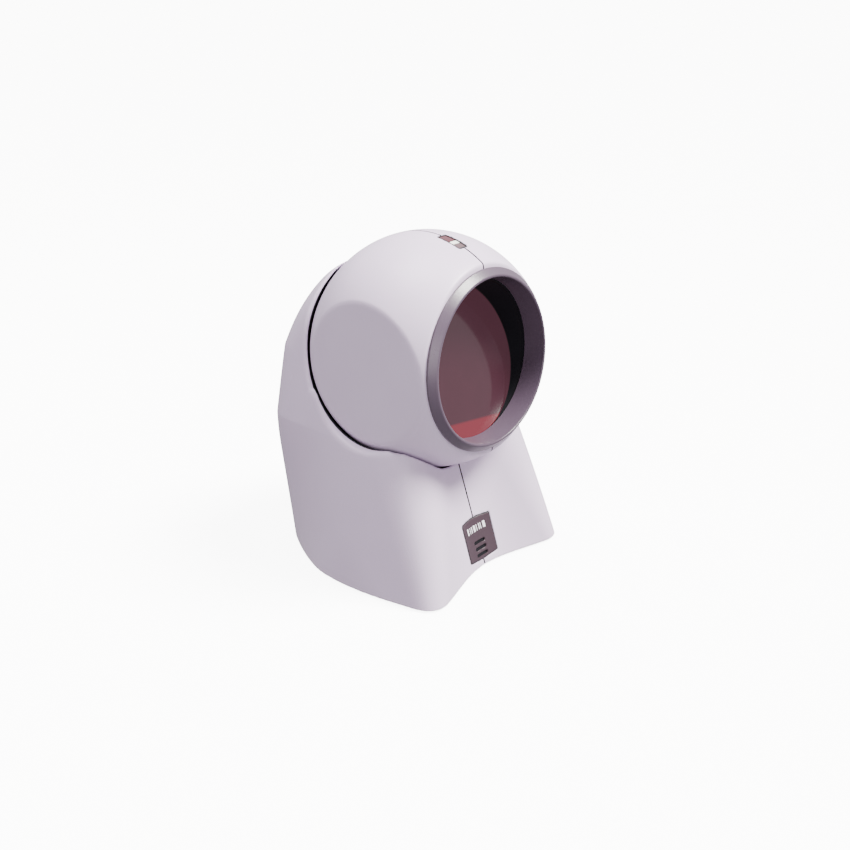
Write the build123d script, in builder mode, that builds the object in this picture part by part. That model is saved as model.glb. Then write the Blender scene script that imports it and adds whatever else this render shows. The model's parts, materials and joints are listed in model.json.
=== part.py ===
from math import asin, cos, radians, sin, sqrt, tan
import os

from build123d import *

os.makedirs("parts", exist_ok=True)

# driving sizes, millimetres
# +Z up, the scan opening faces -Y, and the tilt axis lies along X

ball_radius = 53.6        # round middle of the ball, measured from the tilt axis
ball_reach = 51.0         # half axis of the ball's oval, along X
cheek_x = 41.2            # flat cheeks left and right
cheek_round = 1.2
head_wall = 2.2
rest_tilt = 4.9           # the opening looks this much above level, degrees
tilt_travel = 15.0        # up and down from rest, degrees

axis_height = 96.4
axis_y = -8.39            # the tilt axis stands in front of the stand's middle
ball_gap = 1.0            # round the ball, inside the stand
base_wall = 2.5

floor_half_width = 55.3
floor_rear = 59.6         # from the tilt axis to the back of the stand
toe_x, toe_y = 46.0, 47.3     # sharp corners of the two front toes
valley_floor = 34.8       # the stand's front curves in to here between the toes
front_lean = 20.2         # the front leans back, degrees
rim_half_width = 46.3
rim_height = 63.0
hood_half_width = 40.5
hood_wrap = 5.4           # the hood stands this far outside the ball at the back
edge_clear = 0.8          # the stand's lower edge clears the table on its feet
side_cut = 32.8           # round cut-out beside each cheek

opening_radius = 35.4     # inside of the bezel ring at its back
bezel_radius = 40.3
bezel_seat = 33.2         # flat front of the ball, from the tilt axis
ridge_radius, ridge_forward = 37.0, 36.9
tunnel_front = 26.3
tunnel_wall = 2.0
window_radius = 34.0
window_view = 32.3
window_forward = 18.0
window_lean = 14.0        # the window looks this much above the opening, degrees
window_thick = 1.5
gasket_thick = 1.0
flange_thick = 2.0

chassis_radius = 28.5
chassis_wall = 1.5
chassis_back = 22.0       # behind the tilt axis
wheel_radius = 12.0
wheel_height = 8.0
wheel_faces = 5
motor_radius = 9.5
motor_length = 6.0
shaft_radius = 1.5
mirror_thick = 1.5
board_thick = 1.6
board_gap = 8.0           # between the chassis and the main board

light_angle = 19.0        # middle of the light window, forward of the top, degrees
light_length, light_width = 12.5, 5.7
light_thick = 2.6

yoke_x = 34.8             # middle of each yoke arm
yoke_thick = 2.0
yoke_width = 12.0
yoke_lean = 15.0          # the arms come up from behind, degrees
axle_radius = 3.0
axle_fit = 0.05
axle_thread = 2.4
washer_radius = 6.5
washer_thick = 0.6
spring_thick = 0.7
yoke_gap = 0.1            # free play beside each arm
slot_clear = 0.6
part_clear = 0.2              # round parts that drop into a seat

badge_width, badge_height, badge_bow = 19.2, 18.4, 0.8
badge_thick = 1.4
badge_middle = 13.2       # height of its middle
badge_fit = 0.2
slot_length, slot_height, slot_pitch = 7.7, 1.6, 2.9
slot_count = 3
speaker_radius = 7.0
speaker_depth = 5.0
speaker_rise = 2.5        # above the middle of the badge plate

floor_plate_thick = 3.0
ballast_thick = 6.0
foot_radius, foot_thick = 5.0, 1.6
insert_spacing = 60.0     # threaded inserts for fixing the stand down
insert_radius = 3.0
insert_hole = 1.65        # M4 thread, minor radius
insert_length = 6.0
screw_radius = 1.5
screw_head_radius, screw_head_height = 2.75, 1.8
drive_length, drive_width, drive_depth = 3.2, 0.7, 0.9      # cross recess in a screw head
post_radius = 4.2

socket_width, socket_height, socket_depth = 16.0, 12.5, 15.0
socket_hole_width, socket_hole_height, socket_hole_depth = 11.6, 7.0, 11.0
socket_middle = 15.0

# places and directions

tilt = radians(rest_tilt)
centre = Vector(0, axis_y, axis_height)
ahead = Vector(0, -cos(tilt), sin(tilt))
upward = Vector(0, sin(tilt), cos(tilt))
across = Vector(1, 0, 0)
tilt_axis = Axis(centre, across)
scan_axis = Axis(centre, ahead)


def in_head(x, forward, up):
    """A point given in the head's own directions, from the middle of the ball."""
    return centre + across * x + ahead * forward + upward * up


def facing(forward, x=0.0, up=0.0):
    """A plane square to the scan direction; its x is across and its y is up."""
    return Plane(origin=in_head(x, forward, up), x_dir=across, z_dir=ahead)


def window_plane(depth):
    """A plane parallel to the slanted window, this far behind its outer face."""
    lean = radians(window_lean)
    normal = ahead * cos(lean) + upward * sin(lean)
    return Plane(origin=in_head(0, window_forward, 0) - normal * depth, x_dir=across, z_dir=normal)


head_profile = Plane(origin=centre, x_dir=ahead, z_dir=-across)      # x forward, y up
ball_profile = Plane(origin=centre, x_dir=across, z_dir=ahead)       # x across, y up
side_view = Plane(origin=centre, x_dir=(0, 1, 0), z_dir=(1, 0, 0))   # x backward, y up

front_slope = tan(radians(front_lean))
badge_depth = valley_floor - badge_middle * front_slope
badge_normal = Vector(0, -cos(radians(front_lean)), sin(radians(front_lean)))
badge_origin = Vector(0, axis_y - badge_depth, badge_middle)


def badge_plane(depth):
    """A plane parallel to the badge plate, this far behind the stand's front."""
    return Plane(origin=badge_origin - badge_normal * depth, x_dir=across, z_dir=badge_normal)


def ball(grow):
    """The ball with its flat cheeks, its skin moved outward by grow."""
    with BuildPart(mode=Mode.PRIVATE) as solid:
        with BuildSketch(ball_profile):
            Ellipse(ball_reach + grow, ball_radius + grow)
            Rectangle(2 * (cheek_x + grow), 3 * ball_radius, mode=Mode.INTERSECT)
            with Locations((0, -2 * ball_radius)):
                Rectangle(4 * ball_radius, 4 * ball_radius, mode=Mode.SUBTRACT)
        revolve(axis=tilt_axis)
        rims = solid.edges().filter_by(GeomType.CIRCLE).filter_by(lambda e: abs(e.center().X) > 1)
        fillet(rims, cheek_round)
    return solid.part


def tube(plane, outer, inner, length):
    """A tube or a disc that runs length along the plane's normal."""
    with BuildPart(mode=Mode.PRIVATE) as solid:
        with BuildSketch(plane):
            Circle(outer)
            if inner > 0:
                Circle(inner, mode=Mode.SUBTRACT)
        extrude(amount=length)
    return solid.part


def slab(radius, inner, near, far):
    """A disc or ring about the scan axis, cut to lie between two planes parallel to the window."""
    with BuildPart(mode=Mode.PRIVATE) as solid:
        add(tube(facing(-ball_radius), radius, inner, 2 * ball_radius))
        split(bisect_by=window_plane(near), keep=Keep.BOTTOM)
        split(bisect_by=window_plane(far), keep=Keep.TOP)
    return solid.part


def save(solid, name):
    solid.label = name
    export_step(solid, f"parts/{name}.step")


# head shells

# two screws along X clamp the halves, both behind the stand's hood; (forward, up)
clamp_places = [(-10.0, -43.0), (-43.0, -10.0)]
clamp_head_x = 8.0
clamp_end_x = -10.0
clamp_step = 4.0              # from the boss end down to the screw head
rib_thick = 3.0
axle_end = cheek_x - head_wall / 2
washer_x = yoke_x + yoke_thick / 2 + yoke_gap
boss_inner = washer_x + washer_thick + spring_thick
inner_reach = ball_radius - head_wall

with BuildPart() as head_hollow:
    add(ball(-head_wall))
    with BuildSketch(facing(bezel_seat - head_wall)):
        Rectangle(4 * ball_radius, 4 * ball_radius)
    extrude(amount=ball_radius, mode=Mode.SUBTRACT)
    for forward, up in clamp_places:
        reach = sqrt(forward ** 2 + up ** 2)
        direction = ahead * (forward / reach) + upward * (up / reach)
        with BuildSketch(Plane(origin=in_head(0, forward, up), x_dir=direction, z_dir=across)):
            Circle(post_radius)
            with Locations(((inner_reach - reach) / 2 + 1, 0)):
                Rectangle(inner_reach - reach + 2, rib_thick)
        extrude(amount=clamp_head_x, mode=Mode.SUBTRACT)
        with BuildSketch(Plane(origin=in_head(0, forward, up), x_dir=direction, z_dir=-across)):
            Circle(post_radius)
            with Locations(((inner_reach - reach) / 2 + 1, 0)):
                Rectangle(inner_reach - reach + 2, rib_thick)
        extrude(amount=-clamp_end_x + 2, mode=Mode.SUBTRACT)
    for side in (-1, 1):
        with BuildSketch(Plane(origin=centre + across * side * boss_inner, z_dir=across * side)):
            Circle(washer_radius)
        extrude(amount=cheek_x, mode=Mode.SUBTRACT)

light = radians(light_angle)
light_out = ahead * sin(light) + upward * cos(light)
light_along = ahead * cos(light) - upward * sin(light)


def light_plane(radius):
    """A plane square to the light window, this far from the tilt axis."""
    return Plane(origin=centre + light_out * radius, x_dir=across, z_dir=light_out)


# slots in the ball for the yoke arms, hidden inside the stand
arm_angle = radians(yoke_lean + rest_tilt)
slot_near, slot_far = 30.0, 50.0      # from the tilt axis
slot_middle = 37.0
slot_half = radians(tilt_travel) + asin((yoke_width / 2 + 2) / slot_middle)

with BuildPart() as head_shells:
    add(ball(0))
    with BuildSketch(facing(bezel_seat)):
        Rectangle(4 * ball_radius, 4 * ball_radius)
    extrude(amount=ball_radius, mode=Mode.SUBTRACT)
    add(head_hollow.part, mode=Mode.SUBTRACT)
    with BuildSketch(facing(bezel_seat + 1)):
        Circle(opening_radius + tunnel_wall + badge_fit)
    extrude(amount=-(head_wall + 3), mode=Mode.SUBTRACT)
    with BuildSketch(light_plane(ball_radius - head_wall - 3)):
        RectangleRounded(light_width + 0.3, light_length + 0.3, 1.2)
    extrude(amount=head_wall + 6, mode=Mode.SUBTRACT)
    for side in (-1, 1):
        arm_plane = Plane(origin=centre + across * side * yoke_x, x_dir=ahead, z_dir=-across)
        with BuildSketch(arm_plane):
            with BuildLine():
                corners = [(slot_near, -slot_half), (slot_far, -slot_half), (slot_far, 0)]
                corners += [(slot_far, slot_half), (slot_near, slot_half)]
                Polyline([(-r * sin(arm_angle + a), -r * cos(arm_angle + a)) for r, a in corners], close=True)
            make_face()
        extrude(amount=yoke_thick / 2 + slot_clear, both=True, mode=Mode.SUBTRACT)
        with BuildSketch(Plane(origin=centre + across * side * (boss_inner - 1), z_dir=across * side)):
            Circle(axle_thread)
        extrude(amount=axle_end - boss_inner + 1, mode=Mode.SUBTRACT)
    for forward, up in clamp_places:
        with BuildSketch(Plane(origin=in_head(clamp_head_x - clamp_step, forward, up), z_dir=across)):
            Circle(screw_head_radius + part_clear)
        extrude(amount=ball_reach, mode=Mode.SUBTRACT)
        with BuildSketch(Plane(origin=in_head(clamp_end_x, forward, up), z_dir=across)):
            Circle(screw_radius)
        extrude(amount=-clamp_end_x + clamp_head_x, mode=Mode.SUBTRACT)

with BuildPart() as head_shell_left:
    add(head_shells.part)
    split(bisect_by=Plane.YZ, keep=Keep.BOTTOM)
save(head_shell_left.part, "head_shell_left")

with BuildPart() as head_shell_right:
    add(head_shells.part)
    split(bisect_by=Plane.YZ, keep=Keep.TOP)
save(head_shell_right.part, "head_shell_right")

with BuildPart() as head_screws:
    for forward, up in clamp_places:
        with BuildSketch(Plane(origin=in_head(clamp_end_x + 1, forward, up), z_dir=across)):
            Circle(screw_radius)
        extrude(amount=clamp_head_x - clamp_step - clamp_end_x)
        with BuildSketch(Plane(origin=in_head(clamp_head_x - clamp_step, forward, up), z_dir=across)):
            Circle(screw_head_radius)
        extrude(amount=screw_head_height)
        head_seat = in_head(clamp_head_x - clamp_step + screw_head_height, forward, up)
        with BuildSketch(Plane(origin=head_seat, z_dir=across)):
            Rectangle(drive_length, drive_width)
            Rectangle(drive_width, drive_length)
        extrude(amount=-drive_depth, mode=Mode.SUBTRACT)
save(head_screws.part, "head_screws")

# bezel ring, tunnel and window

with BuildPart() as bezel_ring:
    with BuildSketch(head_profile) as bezel_section:
        with BuildLine():
            Polyline(
                (bezel_seat, bezel_radius),
                (bezel_seat + 0.7, bezel_radius),
                (ridge_forward, ridge_radius + 0.3),
                (ridge_forward, ridge_radius - 0.6),
                (tunnel_front, opening_radius),
                (tunnel_front, opening_radius + tunnel_wall),
                (bezel_seat, opening_radius + tunnel_wall),
                close=True,
            )
        make_face()
        crest = bezel_section.vertices().sort_by(Axis(centre, ahead))[-2:]
        fillet(crest, 0.4)
    revolve(axis=scan_axis)
save(bezel_ring.part, "bezel_ring")

stack = window_thick + gasket_thick + flange_thick

with BuildPart() as scan_tunnel:
    add(tube(facing(-ball_radius), opening_radius + tunnel_wall - 0.2, 0, ball_radius + tunnel_front))
    with BuildSketch(head_profile):
        with BuildLine():
            Polyline(
                (tunnel_front + 1, opening_radius - 0.2),
                (tunnel_front, opening_radius - 0.4),
                (window_forward - window_radius * tan(radians(window_lean)), window_view),
                (window_forward - window_radius, window_view),
                (window_forward - window_radius, 0),
                (tunnel_front + 1, 0),
                close=True,
            )
        make_face()
    revolve(axis=scan_axis, mode=Mode.SUBTRACT)
    split(bisect_by=window_plane(stack), keep=Keep.TOP)
    add(slab(window_radius + 0.15, 0, 0, stack + 3), mode=Mode.SUBTRACT)
save(scan_tunnel.part, "scan_tunnel")

with BuildPart() as scan_window:
    add(slab(window_radius, 0, 0, window_thick))
save(scan_window.part, "scan_window")

with BuildPart() as window_gasket:
    add(slab(window_radius, window_view - 1, window_thick, window_thick + gasket_thick))
save(window_gasket.part, "window_gasket")

# optics inside the head

bridge_back, bridge_up = 3.0, 13.0      # cross piece that carries the optics
bridge_high, bridge_thick = 8.0, 2.0
board_holes = [(-20, -16), (20, -16), (-20, 16), (20, 16)]
board_post = 2.5
laser_length = 9.0
optics_x = 14.0               # laser and detector, either side of the collector

with BuildPart() as optics_chassis:
    add(slab(window_radius, chassis_radius - chassis_wall, window_thick + gasket_thick, stack))
    with BuildPart(mode=Mode.PRIVATE) as barrel:
        add(tube(facing(-chassis_back), chassis_radius, chassis_radius - chassis_wall, 2 * ball_radius))
        split(bisect_by=window_plane(stack), keep=Keep.BOTTOM)
    add(barrel.part)
    with BuildSketch(facing(bridge_back, 0, bridge_up)):
        reach = sqrt((chassis_radius - chassis_wall / 2) ** 2 - (bridge_up + bridge_high / 2) ** 2)
        Rectangle(2 * reach, bridge_high)
    extrude(amount=bridge_thick)
    add(tube(facing(-chassis_back), chassis_radius, motor_radius + part_clear, chassis_wall))
    for x, up in board_holes:
        add(tube(facing(-chassis_back - board_gap, x, up), board_post, 0, board_gap))
save(optics_chassis.part, "optics_chassis")

motor_front = -chassis_back + chassis_wall + motor_length - 2

with BuildPart() as motor_body:
    add(tube(facing(motor_front - motor_length), motor_radius, 0, motor_length))
    add(tube(facing(motor_front - motor_length + 2), motor_radius + 3, motor_radius, 1.2))
    with BuildSketch(facing(motor_front + 1)):
        Circle(shaft_radius + axle_fit)
    extrude(amount=-motor_length + 1, mode=Mode.SUBTRACT)
save(motor_body.part, "motor_body")

wheel_back = motor_front + 1.0

with BuildPart() as mirror_wheel:
    with BuildSketch(facing(wheel_back)):
        RegularPolygon(wheel_radius, wheel_faces)
    with BuildSketch(facing(wheel_back + wheel_height)):
        RegularPolygon(wheel_radius - 3, wheel_faces)
    loft(ruled=True)
    with BuildSketch(facing(wheel_back - 1)):
        Circle(shaft_radius)
    extrude(amount=wheel_height + 2, mode=Mode.SUBTRACT)
save(mirror_wheel.part, "mirror_wheel")

with BuildPart() as wheel_shaft:
    add(tube(facing(motor_front - motor_length + 3), shaft_radius, 0, motor_length + wheel_height - 1))
save(wheel_shaft.part, "wheel_shaft")

pattern_radius = 19.5
pattern_width, pattern_high, pattern_taper = 19.0, 13.0, 64.0

with BuildPart() as pattern_mirrors:
    for i in range(wheel_faces):
        turn = radians(360 / wheel_faces * i - 90)
        outward = across * cos(turn) + upward * sin(turn)
        face = (ahead - outward).normalized()
        sideways = across * -sin(turn) + upward * cos(turn)
        middle = in_head(0, wheel_back + 3, 0) + outward * pattern_radius
        with BuildSketch(Plane(origin=middle, x_dir=sideways, z_dir=face)):
            Trapezoid(pattern_width, pattern_high, pattern_taper)
        extrude(amount=-mirror_thick)
save(pattern_mirrors.part, "pattern_mirrors")

with BuildPart() as collector_mirror:
    with BuildSketch(facing(bridge_back, 0, bridge_up)):
        RectangleRounded(18, 15, 2)
    extrude(amount=-3)
save(collector_mirror.part, "collector_mirror")

with BuildPart() as laser_module:
    with BuildSketch(facing(bridge_back, optics_x, bridge_up)):
        RectangleRounded(8, 8, 1)
    extrude(amount=-laser_length)
    with BuildSketch(facing(bridge_back - laser_length, optics_x, bridge_up)):
        Circle(2.2)
    extrude(amount=-1)
save(laser_module.part, "laser_module")

with BuildPart() as detector:
    with BuildSketch(facing(bridge_back, -optics_x, bridge_up)):
        Rectangle(9, 7)
    extrude(amount=-2)
    with BuildSketch(facing(bridge_back - 2, -optics_x, bridge_up)):
        Rectangle(4, 4)
    extrude(amount=-1)
save(detector.part, "detector")

with BuildPart() as detector_filter:
    with BuildSketch(facing(bridge_back - 3, -optics_x, bridge_up)):
        RectangleRounded(7, 6, 0.8)
    extrude(amount=-1)
save(detector_filter.part, "detector_filter")

board_front = -chassis_back - board_gap

with BuildPart() as main_board:
    with BuildSketch(facing(board_front - board_thick)):
        RectangleRounded(54, 44, 3)
        with Locations(*board_holes):
            Circle(screw_radius, mode=Mode.SUBTRACT)
    extrude(amount=board_thick)
save(main_board.part, "main_board")

with BuildPart() as board_chips:
    with BuildSketch(facing(board_front - board_thick)):
        with Locations((0, 2)):
            Rectangle(12, 12)
        with Locations((-15, 6), (15, 6)):
            Rectangle(6, 9)
        with Locations((2, -14)):
            Rectangle(20, 6)
    extrude(amount=-2)
save(board_chips.part, "board_chips")

with BuildPart() as board_screws:
    for x, up in board_holes:
        head_plane = facing(board_front - board_thick - screw_head_height, x, up)
        add(tube(head_plane, screw_head_radius, 0, screw_head_height))
save(board_screws.part, "board_screws")

# light window on top of the head

with BuildPart() as light_window:
    with BuildPart(mode=Mode.PRIVATE) as light_block:
        with BuildSketch(light_plane(ball_radius - light_thick)):
            RectangleRounded(light_width, light_length, 1.0)
        extrude(amount=light_thick + 3)
    add(ball(0))
    add(light_block.part, mode=Mode.INTERSECT)
save(light_window.part, "light_window")

light_board_thick = 1.2
light_board_radius = ball_radius - light_thick - 2.2

with BuildPart() as light_board:
    with BuildSketch(light_plane(light_board_radius - light_board_thick)):
        Rectangle(8, 16)
    extrude(amount=light_board_thick)
save(light_board.part, "light_board")

with BuildPart() as lights:
    with BuildSketch(light_plane(light_board_radius)):
        with GridLocations(1, 4, 1, 3):
            Rectangle(2.4, 1.6)
    extrude(amount=1.2)
save(lights.part, "lights")

# outline of the badge plate


def badge_outline(depth, grow):
    """Upright plate whose top and bottom edges bow outward, on a plane this far behind the front."""
    half_w = badge_width / 2 + grow
    half_h = badge_height / 2 + grow
    with BuildSketch(badge_plane(depth)) as outline:
        with BuildLine():
            ThreePointArc((-half_w, half_h), (0, half_h + badge_bow), (half_w, half_h))
            Line((half_w, half_h), (half_w, -half_h))
            ThreePointArc((half_w, -half_h), (0, -half_h - badge_bow), (-half_w, -half_h))
            Line((-half_w, -half_h), (-half_w, half_h))
        make_face()
    return outline.sketch


def sound_slots(depth):
    """The speaker's slots in the lower half of the badge plate."""
    with BuildSketch(badge_plane(depth)) as slots:
        with Locations((0, -slot_pitch * 1.55)):
            with GridLocations(1, slot_pitch, 1, slot_count):
                SlotOverall(slot_length, slot_height)
    return slots.sketch


# stand shells

rear_reach = ball_radius + ball_gap + hood_wrap


def stand_section(height, half_width, side_y, toe, valley, rear_corner, rear, toe_round, rear_round, inset):
    """One level of the stand: hollow front between two toes, bowed sides, rounded back."""
    with BuildSketch(Plane.XY.offset(height)) as level:
        with BuildLine():
            toe_left = (-toe[0], axis_y - toe[1])
            toe_right = (toe[0], axis_y - toe[1])
            back_left = (-rear_corner[0], axis_y + rear_corner[1])
            back_right = (rear_corner[0], axis_y + rear_corner[1])
            ThreePointArc(toe_left, (0, axis_y - valley), toe_right)
            ThreePointArc(toe_right, (half_width, axis_y + side_y), back_right)
            ThreePointArc(back_right, (0, axis_y + rear), back_left)
            ThreePointArc(back_left, (-half_width, axis_y + side_y), toe_left)
        make_face()
        fillet(level.vertices().group_by(Axis.Y)[0], toe_round)
        fillet(level.vertices().group_by(Axis.Y)[-1], rear_round)
        if inset:
            offset(amount=-inset, mode=Mode.REPLACE)
    return level.sketch


def rear_at(height):
    """How far the hood reaches behind the tilt axis at this height above it."""
    return sqrt(rear_reach ** 2 - (height - axis_height) ** 2)


def stand_form(inset, top):
    """The stand's outer form, or with an inset the room inside its wall."""
    valley_at_rim = valley_floor - rim_height * front_slope
    levels = [
        (0, floor_half_width, 1.5, (toe_x, toe_y), valley_floor, (36, floor_rear - 1.8), floor_rear, 9, 20),
        (rim_height, rim_half_width, 16, (36.2, 31), valley_at_rim, (41.5, 57), floor_rear, 9, 14),
        (axis_height, hood_half_width, 19, (33, 12), 2, (38, 55.5), floor_rear, 9, 14),
        (axis_height + 22, 35.8, 24, (25, 2.5), -5, (30.6, 45.6), rear_at(axis_height + 22), 8, 13),
        (axis_height + 42, 22, 25, (17, -6), -13, (18.5, 33.5), rear_at(axis_height + 42), 7, 9),
    ]
    with BuildPart(mode=Mode.PRIVATE) as form:
        sketches = [stand_section(*level, inset) for level in levels if level[0] <= top]
        loft(sketches[:2], ruled=True)
        if len(sketches) > 2:
            loft(sketches[1:])
    return form.part


floor_posts = [(45.4, -20.0), (-45.4, -20.0), (42.6, 26.0), (-42.6, 26.0)]
yoke_posts = [(24.0, 8.0), (-24.0, 8.0), (24.0, 26.0), (-24.0, 26.0)]
foot_places = [(39.0, -29.0), (-39.0, -29.0), (34.0, 38.0), (-34.0, 38.0)]
insert_places = [(insert_spacing / 2, -6.0), (-insert_spacing / 2, -6.0)]
post_top = 22.0
rib_length = 16.0             # from a post out to the wall
floor_screw_length = 11.0
yoke_floor = 33.0
plate_bottom = edge_clear + 0.2
plate_top = plate_bottom + floor_plate_thick


def upright(height, x=0.0, y=0.0):
    """A level plane in the stand, its place counted from under the tilt axis."""
    return Plane(origin=(x, axis_y + y, height), z_dir=(0, 0, 1))


def arm_strip(side, width, near, far, thick):
    """A straight strip along one yoke arm, between two distances from the tilt axis."""
    lean = radians(yoke_lean)
    arm = Plane(origin=centre + across * side * yoke_x, x_dir=(0, cos(lean), sin(lean)), z_dir=across)
    with BuildPart(mode=Mode.PRIVATE) as strip:
        with BuildSketch(arm):
            with Locations((0, -(near + far) / 2)):
                Rectangle(width, far - near)
        extrude(amount=thick / 2, both=True)
    return strip.part


hollow_top = 76.0
hood_tip = (33.5, 43.0)           # top edge of the hood; places are (behind, above) the tilt axis
hood_middle = (39.0, 14.0)        # middle of the hood's curved edge
shoulder_tip = (-22.0, -29.8)     # front of the stand's shoulder, beside the cheek
shoulder_drop = 4.0
back_turn, front_turn = radians(25), radians(29)      # ends of the round cut-out


def clearing(grow):
    """What the ball's open side takes out of the stand, seen from the side."""
    far = 3 * ball_radius
    before = (-far, shoulder_tip[1] - shoulder_drop)
    arc_back = (side_cut * cos(back_turn), -side_cut * sin(back_turn))
    arc_front = (-side_cut * sin(front_turn), -side_cut * cos(front_turn))
    with BuildPart(mode=Mode.PRIVATE) as solid:
        with BuildSketch(side_view):
            with BuildLine():
                Polyline(arc_front, shoulder_tip, before, (-far, far), (hood_tip[0], far), hood_tip)
                ThreePointArc(hood_tip, hood_middle, arc_back)
                ThreePointArc(arc_back, (0, -side_cut), arc_front)
            make_face()
            if grow:
                offset(amount=grow)
        extrude(amount=2 * ball_radius, both=True)
    return solid.part


with BuildPart() as stand_hollow:
    add(stand_form(base_wall, axis_height))
    with BuildSketch(Plane.XY.offset(hollow_top)):
        Rectangle(4 * ball_radius, 4 * ball_radius)
    extrude(amount=ball_radius, mode=Mode.SUBTRACT)
    add(ball(ball_gap + base_wall), mode=Mode.SUBTRACT)
    add(clearing(base_wall), mode=Mode.SUBTRACT)
    for x, y in floor_posts:
        with BuildSketch(Plane.XY.offset(plate_top)):
            with Locations((x, axis_y + y)):
                Circle(post_radius)
            with Locations((x + (rib_length / 2 if x > 0 else -rib_length / 2), axis_y + y)):
                Rectangle(rib_length, rib_thick)
        extrude(amount=post_top, mode=Mode.SUBTRACT)

with BuildPart() as stand_shells:
    add(stand_form(0, 2 * axis_height))
    add(clearing(0), mode=Mode.SUBTRACT)
    add(ball(ball_gap), mode=Mode.SUBTRACT)
    add(stand_hollow.part, mode=Mode.SUBTRACT)
    with BuildSketch(Plane.XY):
        Rectangle(4 * ball_radius, 4 * ball_radius)
    extrude(amount=edge_clear, mode=Mode.SUBTRACT)
    for x, y in floor_posts:
        add(tube(upright(0, x, y), screw_radius, 0, plate_top + floor_screw_length + 1), mode=Mode.SUBTRACT)
    for side in (-1, 1):
        add(arm_strip(side, yoke_width + 1.6, slot_near, 62, yoke_thick + 2 * slot_clear), mode=Mode.SUBTRACT)
    extrude(badge_outline(badge_thick - 0.2, badge_fit), amount=10, mode=Mode.SUBTRACT)
    extrude(sound_slots(0), amount=-10, mode=Mode.SUBTRACT)
    with BuildSketch(Plane.XZ.offset(-axis_y - floor_rear + socket_depth)):
        with Locations((0, socket_middle)):
            Rectangle(socket_width + 2 * part_clear, socket_height + 2 * part_clear)
    extrude(amount=-2 * socket_depth, mode=Mode.SUBTRACT)

with BuildPart() as stand_shell_left:
    add(stand_shells.part)
    split(bisect_by=Plane.YZ, keep=Keep.BOTTOM)
save(stand_shell_left.part, "stand_shell_left")

with BuildPart() as stand_shell_right:
    add(stand_shells.part)
    split(bisect_by=Plane.YZ, keep=Keep.TOP)
save(stand_shell_right.part, "stand_shell_right")

# badge plate and speaker

with BuildPart() as badge:
    extrude(badge_outline(badge_thick - 0.2, 0), amount=badge_thick)
    fillet(badge.faces().sort_by(Axis((0, 0, 0), badge_normal))[-1].outer_wire().edges(), 0.3)
    extrude(sound_slots(badge_thick), amount=badge_thick * 2, mode=Mode.SUBTRACT)
save(badge.part, "badge_plate")

speaker_front = base_wall + 1.2


def speaker_plane(depth):
    """A plane square to the speaker, this far behind the stand's front."""
    rise = Vector(0, sin(radians(front_lean)), cos(radians(front_lean))) * speaker_rise
    return Plane(origin=badge_origin - badge_normal * depth + rise, x_dir=across, z_dir=badge_normal)


with BuildPart() as speaker:
    add(tube(speaker_plane(speaker_front + speaker_depth), speaker_radius, 0, speaker_depth - 1))
    add(tube(speaker_plane(speaker_front + 1), speaker_radius, speaker_radius - 1.5, 1))
    add(tube(speaker_plane(speaker_front + 1), speaker_radius / 2, 0, 0.6))
save(speaker.part, "speaker")

with BuildPart() as speaker_clip:
    behind = speaker_plane(speaker_front + speaker_depth)
    add(tube(behind, speaker_radius + 1.6, speaker_radius + 0.1, speaker_depth - 2))
    with BuildSketch(speaker_plane(speaker_front + speaker_depth)):
        Rectangle(2 * speaker_radius + 3, 4)
    extrude(amount=-1.2)
save(speaker_clip.part, "speaker_clip")

# floor of the stand

plate_clear = 0.3
board_middle = 30.0
board_low = socket_middle - socket_height / 2 - board_thick

with BuildPart() as floor_plate:
    add(stand_form(base_wall + plate_clear, rim_height))
    with BuildSketch(Plane.XY.offset(plate_top)):
        Rectangle(4 * ball_radius, 4 * ball_radius)
    extrude(amount=axis_height, mode=Mode.SUBTRACT)
    with BuildSketch(Plane.XY):
        Rectangle(4 * ball_radius, 4 * ball_radius)
    extrude(amount=plate_bottom, mode=Mode.SUBTRACT)
    for x, y in yoke_posts:
        add(tube(upright(plate_top, x, y), post_radius, screw_radius, yoke_floor - plate_top))
    for x, y in insert_places:
        add(tube(upright(plate_top, x, y), insert_radius + 2, 0, insert_length + 1 - floor_plate_thick))
        add(tube(upright(plate_bottom, x, y), insert_radius, 0, insert_length), mode=Mode.SUBTRACT)
    for x in (-14, 14):
        add(tube(upright(plate_top, x, board_middle + 6), 2.5, 0, board_low - plate_top))
    for x, y in floor_posts:
        below = upright(plate_bottom, x, y)
        add(tube(below, screw_radius + part_clear, 0, floor_plate_thick), mode=Mode.SUBTRACT)
        add(tube(below, screw_head_radius + part_clear, 0, screw_head_height), mode=Mode.SUBTRACT)
    for x, y in foot_places:
        add(tube(upright(0, x, y), foot_radius + 0.1, 0, foot_thick), mode=Mode.SUBTRACT)
save(floor_plate.part, "floor_plate")

with BuildPart() as floor_screws:
    for x, y in floor_posts:
        add(tube(upright(plate_bottom, x, y), screw_head_radius, 0, screw_head_height))
        add(tube(upright(plate_bottom + screw_head_height, x, y), screw_radius, 0, floor_screw_length))
        with BuildSketch(upright(plate_bottom, x, y)):
            Rectangle(drive_length, drive_width)
            Rectangle(drive_width, drive_length)
        extrude(amount=drive_depth, mode=Mode.SUBTRACT)
save(floor_screws.part, "floor_screws")

with BuildPart() as rubber_feet:
    for x, y in foot_places:
        add(tube(upright(0, x, y), foot_radius, 0, foot_thick))
    fillet(rubber_feet.edges().group_by(Axis.Z)[0], 0.4)
save(rubber_feet.part, "rubber_feet")

with BuildPart() as threaded_inserts:
    for x, y in insert_places:
        add(tube(upright(plate_bottom, x, y), insert_radius, insert_hole, insert_length))
save(threaded_inserts.part, "threaded_inserts")

with BuildPart() as ballast:
    with BuildSketch(upright(plate_top, 0, 7)):
        RectangleRounded(38, 42, 3)
    extrude(amount=ballast_thick)
    chamfer(ballast.edges().group_by(Axis.Z)[-1], 0.6)
save(ballast.part, "ballast")

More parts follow.
